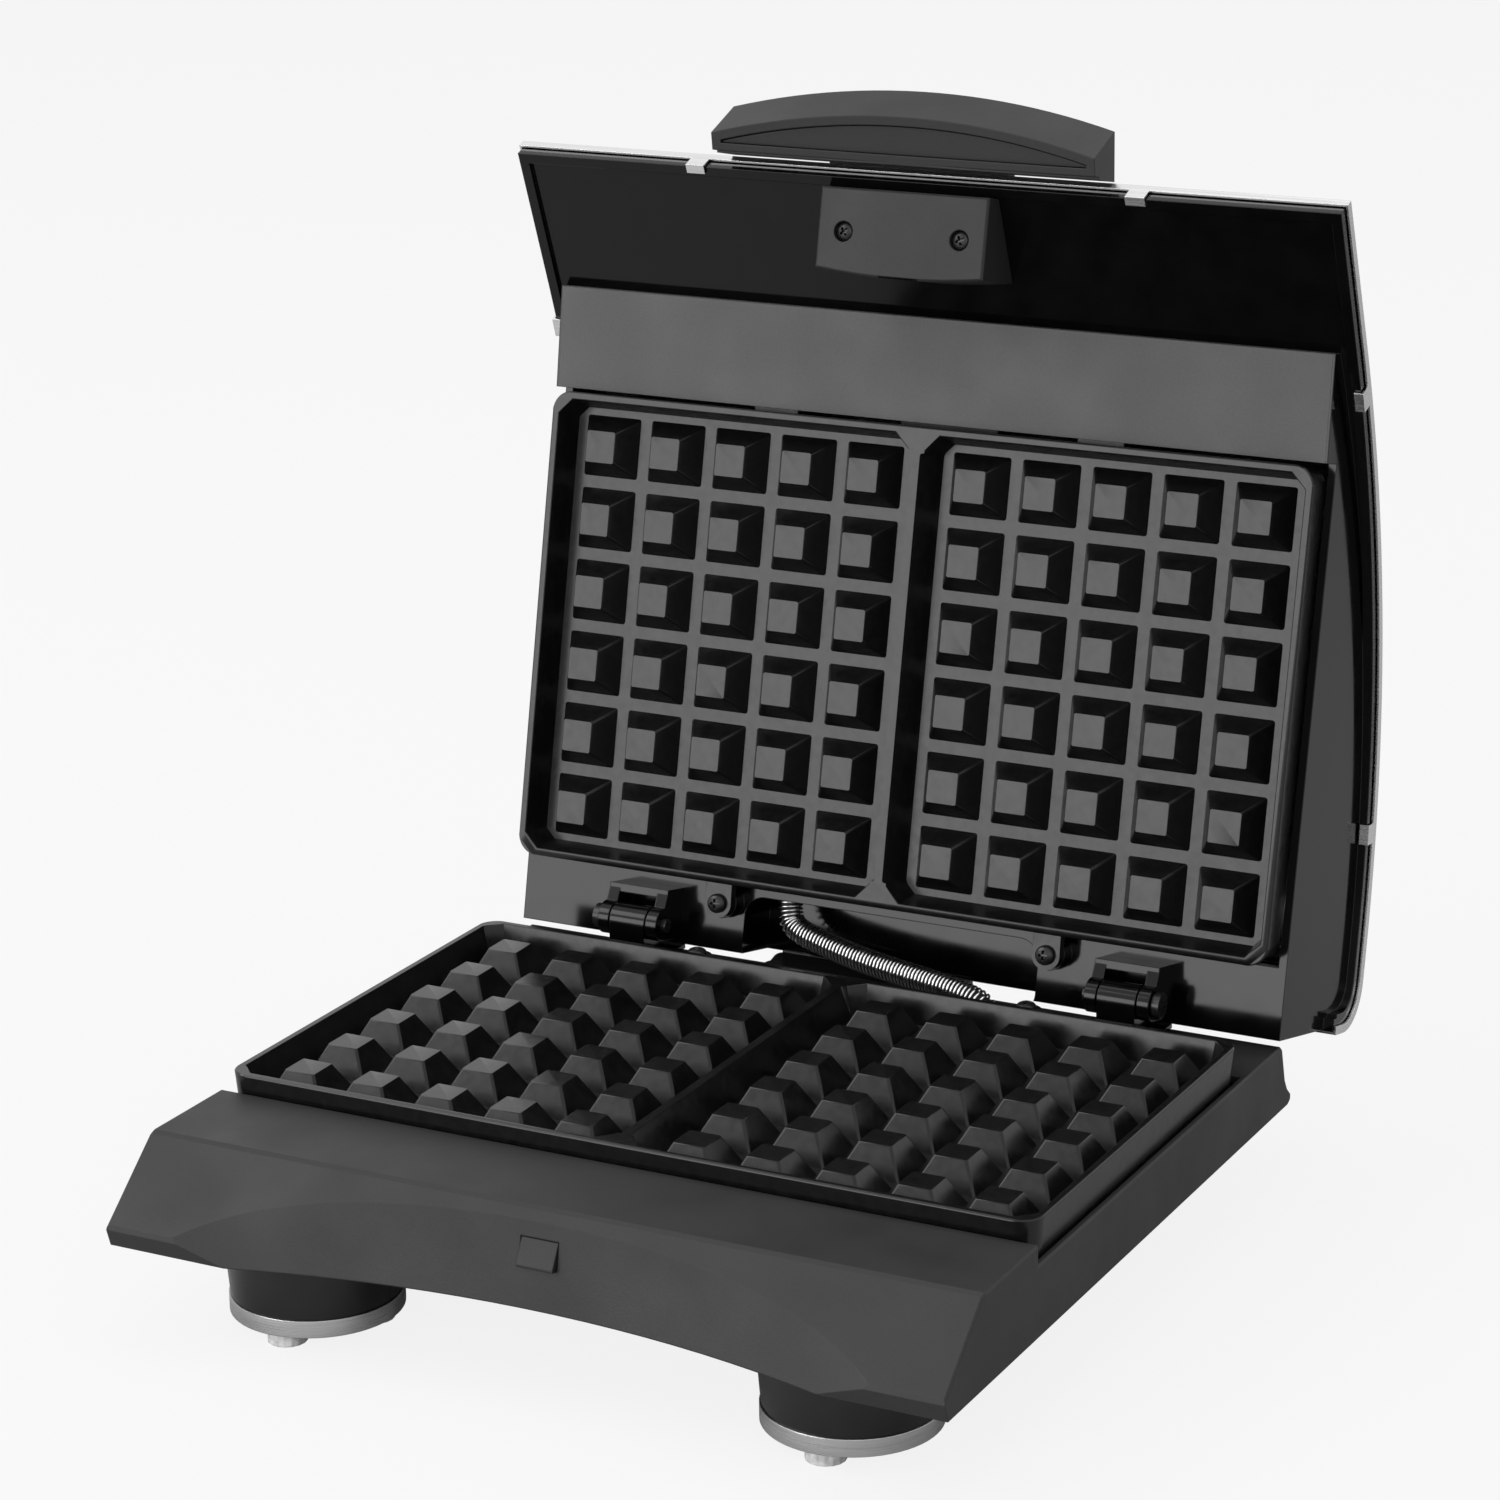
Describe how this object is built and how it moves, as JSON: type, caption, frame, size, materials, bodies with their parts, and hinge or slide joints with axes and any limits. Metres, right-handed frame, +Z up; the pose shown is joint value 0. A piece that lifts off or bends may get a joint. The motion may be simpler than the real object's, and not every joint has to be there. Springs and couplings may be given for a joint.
{
  "type": "sandwich and waffle maker",
  "caption": "Countertop waffle maker, open: gridded non-stick plates, bowed steel lid with curved handle, matt black base on round feet.",
  "frame": {"origin": "bottom centre of the bounding box with the lid open, on the table plane under the foot pads", "axes": "+Z up, +Y to the rear where the hinge is, +X to the right of a user standing in front"},
  "size_m": [0.2488, 0.2712, 0.2943],
  "materials": {
    "textured_black": "fine-textured matt black heat-resistant plastic",
    "smooth_black": "smooth semi-gloss black plastic",
    "gloss_black": "smooth glossy black heat-resistant plastic",
    "nonstick": "satin black non-stick coating on cast aluminium",
    "stainless": "brushed stainless sheet",
    "ring_steel": "turned and brushed metal ring",
    "pad_silicone": "translucent white silicone",
    "black_screw": "black oxide cross-head screw",
    "heater_steel": "annealed heater sheath",
    "shield_aluminium": "bare folded sheet",
    "thermostat_body": "brown moulded thermostat",
    "pin_steel": "plain steel pin",
    "black_rubber": "matt black rubber",
    "terminal_plastic": "cream moulded block",
    "fuse_sleeve": "white glass-fibre sleeve",
    "red_lens": "clear red lens",
    "green_lens": "clear green lens",
    "spring_steel": "bright drawn spring wire"
  },
  "bodies": {
    "base": {"base_housing": "textured_black", "base_bottom_cover": "textured_black", "feet": "smooth_black", "foot_rings": "ring_steel", "foot_pads": "pad_silicone", "lower_plate": "nonstick", "lower_plate_screws": "black_screw", "lower_heater": "heater_steel", "lower_heat_shield": "shield_aluminium", "thermostat": "thermostat_body", "latch_catch": "textured_black", "base_hinge_brackets": "textured_black", "hinge_pins": "pin_steel", "cord_gland": "black_rubber", "terminal_block": "terminal_plastic", "cable_spring": "spring_steel"},
    "lid": {"lid_liner": "gloss_black", "lid_cover": "stainless", "upper_plate": "nonstick", "upper_plate_screws": "black_screw", "upper_heater": "heater_steel", "upper_heat_shield": "shield_aluminium", "thermal_fuse": "fuse_sleeve", "lid_hinge_brackets": "gloss_black", "handle": "textured_black", "handle_panel": "textured_black", "handle_bracket": "textured_black", "handle_screws": "black_screw", "power_lamp_lens": "red_lens", "ready_lamp_lens": "green_lens"}
  },
  "joints": [
    {"name": "lid_hinge", "type": "hinge", "parent": "base", "child": "lid", "pos_m": [0, 0.06815, 0.0556], "axis": [1, 0, 0], "range_deg": [0, 102.2], "deforming": ["cable_spring"]}
  ]
}
